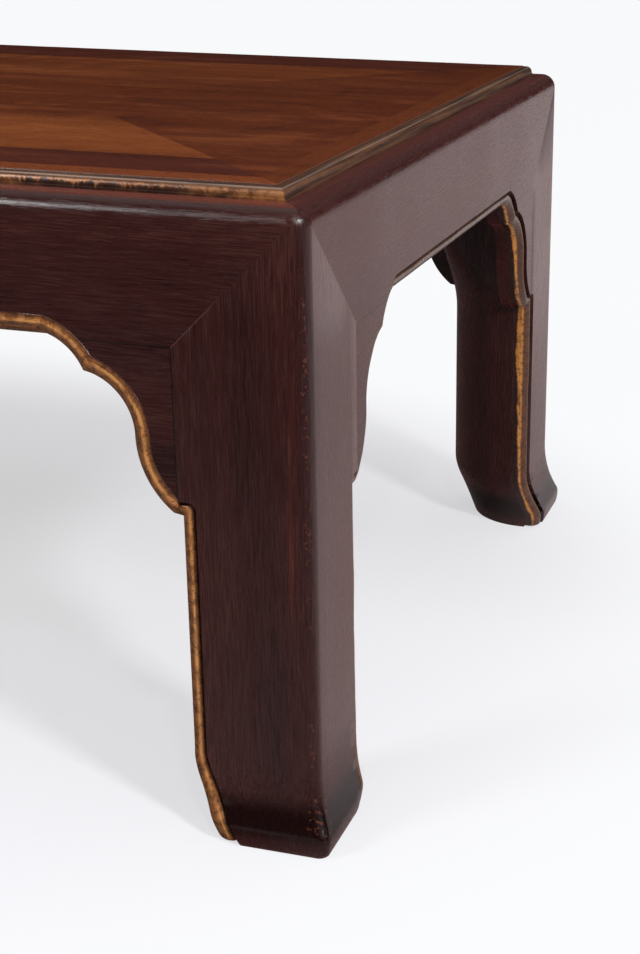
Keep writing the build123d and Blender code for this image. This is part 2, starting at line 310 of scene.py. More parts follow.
def frameMarks(tree, where):
    # masks by place on the frame: joints and mitres on its faces, corner ridges, the toe band for painted
    # shade, a rusty strip beside the corner and the ledge top for painted light; u and v are distances
    # inwards from the two faces
    w = frameWood
    x, y, z = partsOf(tree, where)
    u = minus(tree, halfLength, unsigned(tree, x))
    v = minus(tree, halfDepth, unsigned(tree, y))
    slope = (frameHeight - apronBottom) / legWidth
    fadeLow, fadeHigh = (apronBottom + height for height in w["mitreFade"])
    joints, mitres = 0.0, 0.0
    for away, along in ((v, u), (u, v)):
        onFace = falling(tree, away, 1.0 * mm, 2.0 * mm)
        offset = unsigned(tree, minus(tree, along, legWidth))
        line = falling(tree, offset, w["jointLine"] * 0.6, w["jointLine"] * 1.4)
        line = times(tree, line, between(tree, z, apronBottom - w["jointLength"], apronBottom, 0.5 * mm))
        joints = larger(tree, joints, times(tree, line, onFace))
        mitre = plus(tree, times(tree, along, slope), z)
        mitre = unsigned(tree, minus(tree, mitre, frameHeight))
        line = falling(tree, mitre, w["mitreLine"] * 0.6, w["mitreLine"] * 1.6)
        line = times(tree, line, falling(tree, z, fadeLow, fadeHigh))
        line = times(tree, line, mapRange(tree, z, apronBottom - 0.5 * mm, apronBottom))
        mitres = larger(tree, mitres, times(tree, line, onFace))
    level = unsigned(tree, minus(tree, z, apronBottom))
    under = falling(tree, level, 0.2 * mm, 0.7 * mm)
    outside = falling(tree, calc(tree, "MINIMUM", u, v), 5 * mm, 8 * mm)
    inside = mapRange(tree, larger(tree, u, v), legWidth, legWidth + 0.5 * mm)
    joints = larger(tree, joints, times(tree, under, times(tree, outside, inside)))
    ridge = falling(tree, larger(tree, u, v), 3.6 * mm, 6.5 * mm)
    shadedToe = between(tree, z, *w["shadedToeBand"])
    rust = times(tree, between(tree, u, *w["rustBand"]), between(tree, z, *w["rustHeight"]))
    ledge = mapRange(tree, z, frameHeight - 1.5 * mm, frameHeight - 0.4 * mm)
    return joints, mitres, ridge, shadedToe, rust, ledge


def makeFrameWood(axis):
    # lacquered red-brown hardwood: fine fibres, short dark pores and broad soft streaks along one axis
    w = frameWood
    material, tree, shader, coords = newMaterial("frame_wood_" + axis.lower())
    where = coords["Object"]
    along = stretched(tree, where, grainScale[axis])
    broad = noise(tree, along, 1.3, 3, 0.5, 0.4)
    patch = noise(tree, where, 5.0, 2, 0.5)
    fibre = noise(tree, stretched(tree, along, (1.5, 1.5, 1.5)), 30, 5, 0.66)
    fine = noise(tree, stretched(tree, along, (2.6, 2.6, 2.6), (3.1, 7.7, 1.3)), 30, 3, 0.6)
    streak = plus(tree, times(tree, broad, 0.30), times(tree, fibre, 0.44))
    streak = plus(tree, streak, times(tree, patch, 0.26))
    tone = ramp(tree, streak, [(0.38, w["dark"]), (0.50, w["middle"]), (0.64, w["red"])])
    pore = mapRange(tree, fine, 0.56, 0.68)
    tone = mixColours(tree, times(tree, pore, 0.55), tone, w["pore"])
    joints, mitres, ridge, shadedToe, rust, ledge = frameMarks(tree, where)
    rust = times(tree, rust, mapRange(tree, noise(tree, along, 9, 4, 0.6), 0.44, 0.62))
    tone = mixColours(tree, times(tree, rust, 0.65), tone, w["rust"])
    if axis == "X":
        # painted light: the ledge tops of the front and back aprons made lighter and redder
        tone = mixColours(tree, times(tree, ledge, 0.8), tone, w["ledge"])
    if axis == "Z":
        # painted shade: the toe band, where the foot sweeps out, is darkened towards the pore colour
        tone = mixColours(tree, times(tree, shadedToe, 0.86), tone, w["pore"])
        chips = mapRange(tree, noise(tree, where, 380, 3, 0.6), 0.55, 0.65)
        chips = times(tree, chips, mapRange(tree, noise(tree, where, 24, 2, 0.5), 0.42, 0.6))
        tone = mixColours(tree, times(tree, ridge, chips), tone, w["worn"])
    tone = mixColours(tree, times(tree, mitres, 0.6), tone, w["mitre"])
    tone = mixColours(tree, times(tree, joints, 0.8), tone, w["joint"])
    plug(tree, shader["Base Color"], tone)
    gloss = plus(tree, times(tree, fibre, 0.6), times(tree, patch, 0.4))
    gloss = mapRange(tree, gloss, 0.36, 0.64, w["roughness"] - 0.05, w["roughness"] + 0.15)
    plug(tree, shader["Roughness"], minus(tree, gloss, times(tree, shadedToe, 0.13)))
    level = w["shine"][axis]
    shine = plus(tree, times(tree, fibre, 0.7), times(tree, fine, 0.3))
    plug(tree, shader["Specular IOR Level"], mapRange(tree, shine, 0.36, 0.62, level - 0.14, level + 0.10))
    shader["IOR"].default_value = w["ior"]
    plug(tree, shader["Sheen Weight"], mapRange(tree, shadedToe, 0.0, 1.0, w["bloom"], w["bloom"] * 0.3))
    shader["Sheen Roughness"].default_value = 0.4
    shader["Sheen Tint"].default_value = (*w["bloomTint"], 1)
    height = minus(tree, fibre, times(tree, pore, 0.6))
    height = minus(tree, height, times(tree, joints, 2.0))
    height = times(tree, height, minus(tree, 1.0, times(tree, shadedToe, 0.8)))
    normal = bump(tree, noise(tree, where, 40, 2, 0.5), 0.07, 0.0005)
    plug(tree, shader["Normal"], bump(tree, height, 0.24, 0.0003, normal))
    return material


# each list: how far up the figure a colour stands, and the colour
veneer = {
    "roughness": 0.17, "ior": 1.30, "pore": (0.012, 0.005, 0.004), "paleFrom": (0.14, 0.18),
    "field": [(0.34, (0.056, 0.0170, 0.0120)), (0.49, (0.145, 0.0355, 0.0140)),
              (0.64, (0.240, 0.066, 0.022))],
    "light": [(0.34, (0.115, 0.0280, 0.0115)), (0.50, (0.260, 0.071, 0.0220)),
              (0.66, (0.365, 0.114, 0.035))],
    "crossband": [(0.30, (0.058, 0.0160, 0.0110)), (0.50, (0.104, 0.0270, 0.0165)),
                  (0.70, (0.190, 0.050, 0.024))],
    "end": [(0.28, (0.058, 0.0160, 0.0110)), (0.48, (0.128, 0.0310, 0.0135)),
            (0.66, (0.230, 0.062, 0.022))],
    "lipping": [(0.30, (0.155, 0.037, 0.0140)), (0.52, (0.250, 0.065, 0.0230)),
                (0.76, (0.340, 0.100, 0.036))],
    "endLipping": [(0.30, (0.100, 0.0240, 0.0100)), (0.52, (0.170, 0.0440, 0.0160)),
                   (0.76, (0.250, 0.070, 0.024))],
}


def makeVeneer(name, stops, axis, lift=0.0, figure=1.0, paler=0.0):
    # polished veneer: flame lines that follow the level lines of a slow wave, soft streaks and fine pores
    # along one axis; paler lets the light tones in towards the long edges
    material, tree, shader, coords = newMaterial(name)
    where = coords["Object"]
    slow = noise(tree, stretched(tree, where, (4.2, 6.0, 6.0), (2.3, 0.7, 0)), 1.0, 2, 0.5, 0.5 * figure)
    levels = tree.nodes.new("ShaderNodeCombineXYZ")
    plug(tree, levels.inputs[0], times(tree, slow, 20.0))
    plug(tree, levels.inputs[1], times(tree, noise(tree, where, 3.0, 1), 3.0))
    flame = noise(tree, levels.outputs[0], 1.0, 5, 0.62)
    along = stretched(tree, where, {"X": (1, 7, 7), "Y": (7, 1, 7)}[axis])
    fineAlong = stretched(tree, where, grainScale[axis])
    cloud = noise(tree, along, 3.2, 4, 0.55, 1.2 * figure)
    stripe = noise(tree, stretched(tree, fineAlong, (2.2, 1, 1)), 4.0, 5, 0.62, 0.8)
    fibre = noise(tree, fineAlong, 34, 4, 0.6)
    mixed = plus(tree, times(tree, cloud, 0.26), times(tree, stripe, 0.24))
    mixed = plus(tree, mixed, times(tree, fibre, 0.18))
    mixed = plus(tree, mixed, times(tree, flame, 0.32))
    mixed = plus(tree, mixed, lift)
    tone = ramp(tree, mixed, stops)
    if paler:
        outward = unsigned(tree, partsOf(tree, where)[1])
        outward = plus(tree, outward, times(tree, slow, 0.10))
        near = mapRange(tree, outward, *veneer["paleFrom"], 0.0, paler)
        tone = mixColours(tree, near, tone, ramp(tree, mixed, veneer["light"]))
    pore = mapRange(tree, noise(tree, stretched(tree, fineAlong, (2.5, 1, 1)), 60, 3, 0.6), 0.56, 0.66)
    plug(tree, shader["Base Color"], mixColours(tree, times(tree, pore, 0.8), tone, veneer["pore"]))
    gloss = mapRange(tree, cloud, 0.3, 0.7, veneer["roughness"] - 0.02, veneer["roughness"] + 0.05)
    plug(tree, shader["Roughness"], gloss)
    shader["IOR"].default_value = veneer["ior"]
    normal = bump(tree, noise(tree, where, 40, 2, 0.5), 0.15, 0.0005)
    plug(tree, shader["Normal"], bump(tree, minus(tree, fibre, pore), 0.22, 0.0002, normal))
    return material


gilt = {
    "ridgeHighlight": (0.66, 0.290, 0.080), "middle": (0.29, 0.102, 0.026), "brown": (0.120, 0.041, 0.014),
    # one of these colours is painted light for the cut side of the worn beads
    "paintedCutLight": (0.62, 0.250, 0.055), "rubbed": (0.080, 0.034, 0.021), "glaze": (0.050, 0.018, 0.0085),
    "bare": (0.020, 0.007, 0.005), "metal": 0.30, "roughness": 0.27, "coat": 0.6,
    "ridge": (0.60, 0.80), "wander": 9 * mm, "lowWear": 3.5 * mm, "lowHeight": (0.05, 0.20),
}


def makeBeadGilt(name, width, edge, worn=0.0):
    # rubbed gold over the rounded front: a painted highlight along the ridge, browner towards the opening,
    # with glaze lines, a dark rim by the wood of glaze and painted shade, and dark specks; V is across the
    # front in metres, negative on the cut side, where gold runs out; worn takes the front down to brown and
    # puts painted light on the cut side
    g = gilt
    material, tree, shader, coords = newMaterial(name)
    uv, where = coords["UV"], coords["Object"]
    across = partsOf(tree, uv)[1]
    mottle = noise(tree, where, 190, 4, 0.68)
    blotch = noise(tree, where, 45, 3, 0.6)
    lines = noise(tree, stretched(tree, uv, (14, 700, 1)), 1.0, 3, 0.6)
    tone = mixColours(tree, mapRange(tree, mottle, 0.36, 0.62), g["brown"], g["middle"])
    # painted highlight: brighter gold along the ridge, patchy with the blotches
    ridge = between(tree, across, width * g["ridge"][0], width * g["ridge"][1], 0.7 * mm)
    ridge = times(tree, ridge, mapRange(tree, blotch, 0.34, 0.52, 0.25, 1.0))
    ridgeHighlightTone = mixColours(tree, mapRange(tree, mottle, 0.34, 0.60), g["middle"], g["ridgeHighlight"])
    tone = mixColours(tree, ridge, tone, ridgeHighlightTone)
    glaze = times(tree, mapRange(tree, lines, 0.50, 0.66), mapRange(tree, blotch, 0.34, 0.62))
    # glaze and painted shade: a dark rim along the wood side, where the edge beside the arris lies in shade
    rimShade = mapRange(tree, across, width - 1.2 * mm, width - 0.2 * mm)
    if worn:
        bared = times(tree, mapRange(tree, across, -0.6 * mm, 1.0 * mm), worn)
        tone = mixColours(tree, bared, tone, mixColours(tree, mottle, g["glaze"], g["rubbed"]))
        # painted light: the cut side and the edge of the front next to it brightened to gold as if lit
        paintedCutLight = falling(tree, across, 0.2 * mm, 1.2 * mm)
        paintedCutLight = times(tree, paintedCutLight, mapRange(tree, mottle, 0.34, 0.56, 0.2, 1.0))
        tone = mixColours(tree, paintedCutLight, tone, g["paintedCutLight"])
    tone = mixColours(tree, times(tree, larger(tree, glaze, rimShade), 0.85), tone, g["glaze"])
    speck = mapRange(tree, noise(tree, where, 380, 3, 0.6), 0.62, 0.70)
    tone = mixColours(tree, times(tree, speck, 0.8), tone, g["bare"])
    wander = noise(tree, stretched(tree, uv, (26, 0, 1)), 1.0, 3, 0.6)
    shifted = plus(tree, across, times(tree, minus(tree, wander, 0.5), g["wander"]))
    height = partsOf(tree, where)[2]
    shifted = minus(tree, shifted, mapRange(tree, height, *g["lowHeight"], g["lowWear"], 0.0))
    gold = mapRange(tree, shifted, edge - 0.7 * mm, edge + 0.7 * mm)
    tone = mixColours(tree, gold, mixColours(tree, mottle, g["bare"], frameWood["middle"]), tone)
    plug(tree, shader["Base Color"], tone)
    plug(tree, shader["Metallic"], times(tree, gold, g["metal"]))
    gloss = mapRange(tree, mottle, 0.3, 0.7, g["roughness"] - 0.06, g["roughness"] + 0.10)
    plug(tree, shader["Roughness"], gloss)
    shader["Coat Weight"].default_value = g["coat"] - 0.5 * worn
    shader["Coat Roughness"].default_value = 0.2
    relief = minus(tree, mottle, times(tree, speck, 0.9))
    plug(tree, shader["Normal"], bump(tree, relief, 0.5, 0.0006))
    return material


# bands: from and to on the profile in millimetres, and the colour from there on
mouldingFinish = {
    "gold": (0.29, 0.112, 0.033), "shoulder": ((0.045, 0.020, 0.012), (0.140, 0.066, 0.036)),
    # the pale colour and its place make a painted highlight line along the shoulder
    "highlightColour": (0.42, 0.31, 0.25), "paleFrom": (6.2 * mm, 7.2 * mm, 0.4 * mm),
    "bands": [(8.9, 9.3, gilt["bare"]), (9.9, 10.3, (0.100, 0.046, 0.026)), (11.2, 11.4, gilt["bare"]),
              # the last band is a pinkish painted highlight along the inner lip
              (11.7, 12.1, (0.150, 0.060, 0.036))],
}


def makeMouldingGilt(name, worn):
    # V is the place on the profile in metres: golden foot with dark blotches and painted shade at its base,
    # brown shoulder with a painted highlight line, dark groove, grey-brown flat and an inner lip with a
    # pinkish painted highlight; the worn one is mostly brown
    m = mouldingFinish
    material, tree, shader, coords = newMaterial(name)
    uv, where = coords["UV"], coords["Object"]
    onProfile = partsOf(tree, uv)[1]
    mottle = noise(tree, where, 150, 4, 0.66)
    blotch = noise(tree, stretched(tree, uv, (16, 60, 1)), 1.0, 3, 0.6)
    streaks = noise(tree, stretched(tree, uv, (260, 120, 1)), 1.0, 4, 0.68)
    lines = noise(tree, stretched(tree, uv, (9, 420, 1)), 1.0, 2, 0.5)
    foot = mixColours(tree, mapRange(tree, mottle, 0.34, 0.64), gilt["brown"], m["gold"])
    # darker towards the foot: dark blotches, and painted shade along the base where the moulding meets the
    # ledge
    footShade = mapRange(tree, onProfile, 1.2 * mm, 5.6 * mm, 0.22, -0.06)
    dark = mapRange(tree, plus(tree, streaks, footShade), 0.50, 0.62)
    dark = times(tree, dark, mapRange(tree, blotch, 0.34, 0.56, 0.15, 0.95))
    foot = mixColours(tree, dark, foot, gilt["bare"])
    brown = mixColours(tree, mapRange(tree, lines, 0.38, 0.62), *m["shoulder"])
    tone = mixColours(tree, mapRange(tree, onProfile, 4.6 * mm, 6.0 * mm), foot, brown)
    tone = mixColours(tree, worn, tone, brown)
    # painted highlight: a pale line along the shoulder, weaker on the worn moulding
    pale = times(tree, between(tree, onProfile, *m["paleFrom"]), 0.50 - 0.30 * worn)
    pale = times(tree, pale, mapRange(tree, blotch, 0.30, 0.50, 0.3, 1.0))
    tone = mixColours(tree, pale, tone, m["highlightColour"])
    # bands: dark lines, the grey-brown flat and a pinkish painted highlight on the inner lip
    for start, end, colour in m["bands"]:
        tone = mixColours(tree, mapRange(tree, onProfile, start * mm, end * mm), tone, colour)
    plug(tree, shader["Base Color"], tone)
    shader["Metallic"].default_value = 0.1
    gloss = mapRange(tree, mottle, 0.3, 0.7, 0.22 + 0.2 * worn, 0.34 + 0.2 * worn)
    plug(tree, shader["Roughness"], gloss)
    shader["Specular IOR Level"].default_value = 0.40 - 0.2 * worn
    relief = minus(tree, mottle, times(tree, dark, 0.6 - 0.6 * worn))
    plug(tree, shader["Normal"], bump(tree, relief, 0.3, 0.0004))
    return material


carcase = {"light": (0.42, 0.27, 0.15), "dark": (0.24, 0.13, 0.065), "roughness": 0.7}


def makeCarcaseWood(axis):
    # plain sawn softwood under the top
    material, tree, shader, coords = newMaterial("carcase_wood_" + axis.lower())
    along = stretched(tree, coords["Object"], grainScale[axis])
    rings = noise(tree, along, 3.5, 3, 0.5, 0.8)
    fibre = noise(tree, along, 40, 4, 0.6)
    both = plus(tree, times(tree, rings, 0.7), times(tree, fibre, 0.3))
    plug(tree, shader["Base Color"], ramp(tree, both, [(0.35, carcase["dark"]), (0.6, carcase["light"])]))
    shader["Roughness"].default_value = carcase["roughness"]
    plug(tree, shader["Normal"], bump(tree, fibre, 0.4, 0.0004))
    return material


screw = {"dull": (0.28, 0.26, 0.22), "clean": (0.62, 0.60, 0.56), "roughness": (0.28, 0.5)}


def makeScrewSteel():
    # zinc-plated steel, clouded with stains
    material, tree, shader, coords = newMaterial("screw_steel")
    stain = noise(tree, coords["Object"], 900, 3, 0.6)
    plug(tree, shader["Base Color"], ramp(tree, stain, [(0.3, screw["dull"]), (0.7, screw["clean"])]))
    shader["Metallic"].default_value = 1.0
    plug(tree, shader["Roughness"], mapRange(tree, stain, 0.3, 0.7, *screw["roughness"]))
    return material


sideWood = [makeFrameWood("X"), makeFrameWood("Y")]
legWood = makeFrameWood("Z")
# for the long sides and for the ends: width of the gilt front and where the gold runs out
legBeadGilt = [makeBeadGilt("leg_bead_gilt", 10 * mm, -4.5 * mm),
               makeBeadGilt("end_leg_bead_gilt", 10 * mm, -4.0 * mm, 0.75)]
archBeadGilt = [makeBeadGilt("arch_bead_gilt", 13.7 * mm, -1.0 * mm),
                makeBeadGilt("end_arch_bead_gilt", 10 * mm, -1.2 * mm, 0.9)]
mouldingGilt = [makeMouldingGilt("moulding_gilt", 0.0), makeMouldingGilt("moulding_worn_gilt", 0.8)]
print("materials made")


leg = {
    "cornerRound": 12 * mm, "hollowRound": 77 * mm, "hollowCorner": 3 * mm,
    "roundStart": 204 * mm, "roundEnd": 304 * mm,
    "flare": 10.8 * mm, "flareStart": 65 * mm, "lip": 15 * mm, "lipRound": 6 * mm, "soleInset": 2.8 * mm,
    "lipEase": 2.5 * mm, "taper": 20 * mm, "taperStart": 46 * mm,
    "arrisTaper": 25 * mm, "arrisStart": 53 * mm, "taperPower": 0.85, "taperSoft": 9 * mm,
    "board": 25 * mm, "edgeEase": 0.7 * mm,
}
bead = {
    "width": 12 * mm, "depth": 14 * mm, "setback": 1.5 * mm, "fall": 6.2 * mm, "lean": 0.55,
    "round": 9.7 * mm, "grooveDepth": 4.6 * mm, "lappedRound": 13.9 * mm, "lap": 0.7 * mm,
    "noseHeight": apronBottom - 111.2 * mm, "noseRound": 6 * mm, "frontPoints": 15,
    "wobble": 0.35 * mm, "wobbleLength": 0.09,
}


def rawFlare(z):
    # circle from the start of the sweep to the lip, then a tuck that steepens to the sole
    run = leg["flareStart"] - leg["lip"]
    radius = (run**2 + leg["flare"] ** 2) / (2 * leg["flare"])
    sweep = radius - np.sqrt(np.maximum(radius**2 - (leg["flareStart"] - z) ** 2, 0))
    low = 1 - np.clip(z, 0, leg["lip"]) / leg["lip"]
    tuck = leg["flare"] - leg["soleInset"] * (1 - np.sqrt(np.maximum(1 - low**2, 0)))
    return np.where(z >= leg["flareStart"], 0, np.where(z >= leg["lip"], sweep, tuck))


def faceFlare(z):
    # the sweep averaged over a few heights, which rounds the lip, but held at the sole
    span = np.minimum(leg["lipEase"], z)
    steps = np.linspace(-1, 1, 7)
    return sum(rawFlare(z + span * k) for k in steps) / len(steps)


def taperedWidth(size, taper, start, z):
    # a width that draws in below a height, quickly at first, eased in over a few millimetres
    soft = leg["taperSoft"]
    below = np.maximum(start - z, 0)
    eased = (np.clip(start - z, -soft, soft) + soft) ** 2 / (4 * soft)
    below = np.where(np.abs(start - z) < soft, eased, below)
    return size - taper * (below / start) ** leg["taperPower"]


def legInner(z):
    return taperedWidth(legWidth, leg["taper"], leg["taperStart"], z)


def legArris(z):
    return taperedWidth(legWidth - bead["width"], leg["arrisTaper"], leg["arrisStart"], z)


def legSurface():
    # grid of heights by points round the section: face u, a quarter circle at the corner, face v, then the
    # inner side with its hollow quarter circle, whose radius runs out to a small one under the apron
    foot = np.concatenate([np.linspace(0, 5, 6), np.linspace(6.5, 30, 17), np.linspace(32, 72, 18)]) * mm
    shaft = np.array([100, 140, 180]) * mm
    runOut = np.linspace(leg["roundStart"], leg["roundEnd"], 21)
    turn = quarterTurn(11)
    edge = leg["cornerRound"] * (1 - np.cos(turn))
    top = frameHeight - leg["cornerRound"] + leg["cornerRound"] * np.sin(turn)
    z = np.concatenate([foot, shaft, runOut, [apronBottom], top])
    inset = np.concatenate([np.zeros(len(z) - len(top)), edge])
    out = (inset - faceFlare(z))[:, None]
    share = np.clip((leg["flareStart"] - z) / (leg["flareStart"] - leg["lip"]), 0, 1)
    corner = leg["cornerRound"] + (leg["lipRound"] - leg["cornerRound"]) * share - inset
    corner = np.maximum(corner, 0.01 * mm)[:, None]
    width = legInner(z)[:, None]
    rise = np.clip((z - leg["roundStart"]) / (leg["roundEnd"] - leg["roundStart"]), 0, 1)
    rise = rise * rise * (3 - 2 * rise)
    hollow = leg["hollowRound"] + (leg["hollowCorner"] - leg["hollowRound"]) * rise
    hollow = np.minimum(hollow, legInner(z) - (legWidth - leg["hollowRound"]))[:, None]
    turnOut = quarterTurn(13)[None, :]
    turnIn = quarterTurn(25)[None, :]
    flat = np.linspace(0, 1, 7)[None, :-1]
    ones = np.ones_like(flat)
    faceU = np.stack([width + (out + corner - width) * flat, out * ones], -1)
    outerRound = np.stack([out + corner * (1 - np.sin(turnOut)), out + corner * (1 - np.cos(turnOut))], -1)
    faceV = np.stack([out * ones, out + corner + (width - out - corner) * flat], -1)[:, 1:]
    innerV = np.stack([out + (width - hollow - out) * flat, width * ones], -1)
    hollowSide = np.stack([width - hollow * (1 - np.sin(turnIn)), width - hollow * (1 - np.cos(turnIn))], -1)
    innerU = np.stack([width * ones, width - hollow + (out - width + hollow) * flat], -1)[:, 1:]
    plan = np.concatenate([faceU, outerRound, faceV, innerV, hollowSide, innerU], axis=1)
    heights = np.broadcast_to(z[:, None, None], (*plan.shape[:2], 1))
    return np.concatenate([plan, heights], axis=-1)


def slab(outline, low, high):
    # a closed prism: a flat outline (k, 2) lifted from low to high along the third axis
    return np.stack([np.column_stack([outline, np.full(len(outline), level)]) for level in (low, high)])


def cutter(name, grid):
    return tidyMesh(makeObject(name, grid, gridFaces(*grid.shape[:2])))


def swapUV(grid):
    return grid[..., [1, 0, 2]]


def apronSeat():
    # what an apron takes from a leg: a board behind the mitre line
    far, above, past = legWidth * 2, frameHeight * 2, -0.1
    slope = (frameHeight - apronBottom) / legWidth
    outline = [(past, frameHeight - past * slope), (legWidth, apronBottom), (far, apronBottom), (far, above),
               (past, above)]
    return slab(outline, -30 * mm, leg["board"])[..., [0, 2, 1]]


def beadChannel():
    # seat of a leg bead: follows the arris down to the sole, with a rounded head
    head = bead["noseHeight"] + bead["width"]
    turn = head - bead["noseRound"] * (1 - np.sin(quarterTurn(9)))
    z = np.concatenate([[-2 * mm], np.linspace(0, 60, 31) * mm, [140 * mm], turn])
    clampZ = np.maximum(z, 0)
    arris = legArris(clampZ)
    bend = np.clip((z - (head - bead["noseRound"])) / bead["noseRound"], 0, 1)
    arris = arris + bead["noseRound"] * (1 - np.sqrt(1 - bend**2))
    inner = np.full_like(z, legWidth + 5 * mm)
    out = -faceFlare(clampZ)
    near, deep = out - 20 * mm, out + bead["depth"]
    corners = [(arris, near), (inner, near), (inner, deep), (arris, deep)]
    return np.stack([np.stack([u, v, z], -1) for u, v in corners], axis=1)


def makeLegs():
    # one leg is cut to shape in its corner coordinates, then laid at each corner
    surface = legSurface()
    post = makeObject("leg_blank", surface, gridFaces(*surface.shape[:2]))
    tidyMesh(post)
    far = legWidth * 2
    core = slab([(leg["board"],) * 2, (far, leg["board"]), (far, far), (leg["board"], far)], coreBottom, 1.0)
    cutters = [cutter("seat_u", apronSeat()), cutter("seat_v", swapUV(apronSeat())), cutter("core", core),
               cutter("channel_u", beadChannel()), cutter("channel_v", swapUV(beadChannel()))]
    cutBy(post, cutters)
    tidyMesh(post)
    easeEdges(post, leg["edgeEase"])
    points = np.empty((len(post.data.vertices), 3))
    post.data.vertices.foreach_get("co", points.ravel())
    for corner, name in enumerate(cornerNames):
        mesh = post.data.copy()
        mesh.vertices.foreach_set("co", onCorner(points, corner).ravel())
        mesh.update()
        obj = bpy.data.objects.new("turned_out_leg_" + name, mesh)
        bpy.context.scene.collection.objects.link(obj)
        mesh.materials.append(legWood)
        tidyMesh(obj)
        place(obj, "dark_hardwood", "leg_" + name)
    bpy.data.objects.remove(post)


makeLegs()
print("legs made")


scallop = {
    "shoulderRadius": 38.4 * mm, "shoulderReach": 98.5 * mm, "shoulderDrop": 36.5 * mm,
    "coveRadius": 38.8 * mm, "coveReach": 69.2 * mm, "coveDrop": 60.2 * mm,
    "bulgeReach": 32.9 * mm, "bulgeDrop": 60.1 * mm, "noseLength": 5.8 * mm,
}


def beadSection(lapping):
    # distance from the cut edge and depth behind the face: side, front, side, back; the front is half a
    # turn, across by 1 - cos and deep by 1 - sin; a leg bead lies in its channel beside a groove, one on
    # the long arches laps a little over the wood
    width, middle = bead["width"], bead["depth"]
    turn = np.linspace(0, math.pi, bead["frontPoints"])
    share = ((1 - np.cos(turn)) / 2) ** bead["lean"]
    roundWidth = bead["lappedRound"] if lapping else bead["round"]
    setback = -bead["lap"] if lapping else bead["setback"]
    wall = 0.05 * mm if lapping else bead["grooveDepth"]
    fall = np.where(turn < math.pi / 2, bead["fall"] + bead["setback"] - setback, wall - setback)
    depth = setback + fall * (1 - np.sin(turn) ** 0.8)
    if lapping:
        depth = np.where(turn < math.pi / 2, depth, np.minimum(depth, -0.02 * mm))
    across = np.concatenate([[0, 0], roundWidth * share, [width, width, width]])
    depth = np.concatenate([[middle, (middle + depth[0]) / 2], depth, [wall, middle * 0.6, middle]])
    return across, depth


def arcPoints(centreS, centreZ, radius, startS, startZ, endS, endZ, count):
    # shorter arc, worked out for every offset at once: rows along, columns across
    first = np.arctan2(startZ - centreZ, startS - centreS)
    last = np.arctan2(endZ - centreZ, endS - centreS)
    turn = (last - first + math.pi) % (2 * math.pi) - math.pi
    angle = first + turn * np.linspace(0, 1, count)[:, None]
    return np.stack([centreS + radius * np.cos(angle), centreZ + radius * np.sin(angle)], -1)


def shoulderPoint(offset, rise):
    # where the shoulder stands at a rise above the apron board's underside: distance from the corner, height
    c = scallop
    tip = np.sqrt((c["shoulderRadius"] + offset) ** 2 - (c["shoulderDrop"] + rise) ** 2)
    return legWidth + c["shoulderReach"] - tip, apronBottom + rise


def scallopRun(offset):
    # shoulder below the joint, cusp, cove, bulge and nose, for every offset into the wood
    c = scallop
    shoulder = (legWidth + c["shoulderReach"], apronBottom - c["shoulderDrop"])
    cove = (legWidth + c["coveReach"], apronBottom - c["coveDrop"])
    bulge = (legWidth - c["bulgeReach"], apronBottom - c["bulgeDrop"])
    ra = c["shoulderRadius"] + offset
    rb = c["coveRadius"] + offset
    dx, dz = cove[0] - shoulder[0], cove[1] - shoulder[1]
    gap = math.hypot(dx, dz)
    along = (gap**2 + ra**2 - rb**2) / (2 * gap)
    aside = np.sqrt(ra**2 - along**2)
    cuspS = shoulder[0] + (along * dx + aside * dz) / gap
    cuspZ = shoulder[1] + (along * dz - aside * dx) / gap
    spread = math.hypot(cove[0] - bulge[0], cove[1] - bulge[1])
    bulgeRadius = spread - c["coveRadius"] - offset
    share = rb / spread
    turnS = cove[0] + (bulge[0] - cove[0]) * share
    turnZ = cove[1] + (bulge[1] - cove[1]) * share
    noseS = legWidth + c["noseLength"] + 0 * offset
    noseZ = bulge[1] - np.sqrt(bulgeRadius**2 - (noseS - bulge[0]) ** 2)
    startS, startZ = shoulderPoint(offset, 0 * offset)
    shoulderArc = arcPoints(*shoulder, ra, startS, startZ, cuspS, cuspZ, 14)
    coveArc = arcPoints(*cove, rb, cuspS, cuspZ, turnS, turnZ, 22)
    bulgeArc = arcPoints(*bulge, bulgeRadius, turnS, turnZ, noseS, noseZ, 22)
    end = np.stack([legWidth + 0 * offset, bead["noseHeight"] + offset], -1)
    steps = np.linspace(0, 1, 4)[1:, None, None]
    nose = bulgeArc[-1] + (end - bulgeArc[-1]) * steps
    return np.concatenate([shoulderArc, coveArc[1:], bulgeArc[1:], nose])


def apronRun(offset, half):
    # both upper shoulders and the level run between them, from the -s end to the +s end
    c = scallop
    centre = (legWidth + c["shoulderReach"], apronBottom - c["shoulderDrop"])
    jointS, jointZ = shoulderPoint(offset, 0 * offset)
    startS, startZ = shoulderPoint(offset, offset)
    arc = arcPoints(*centre, c["shoulderRadius"] + offset, jointS, jointZ, startS, startZ, 9)
    arc[..., 0] -= half
    count = max(int((half * 2) / (12 * mm)), 8)
    steps = np.linspace(0, 1, count)[1:-1, None, None]
    back = arc[::-1] * np.array([-1, 1])
    return np.concatenate([arc, arc[-1] + (back[0] - arc[-1]) * steps, back])


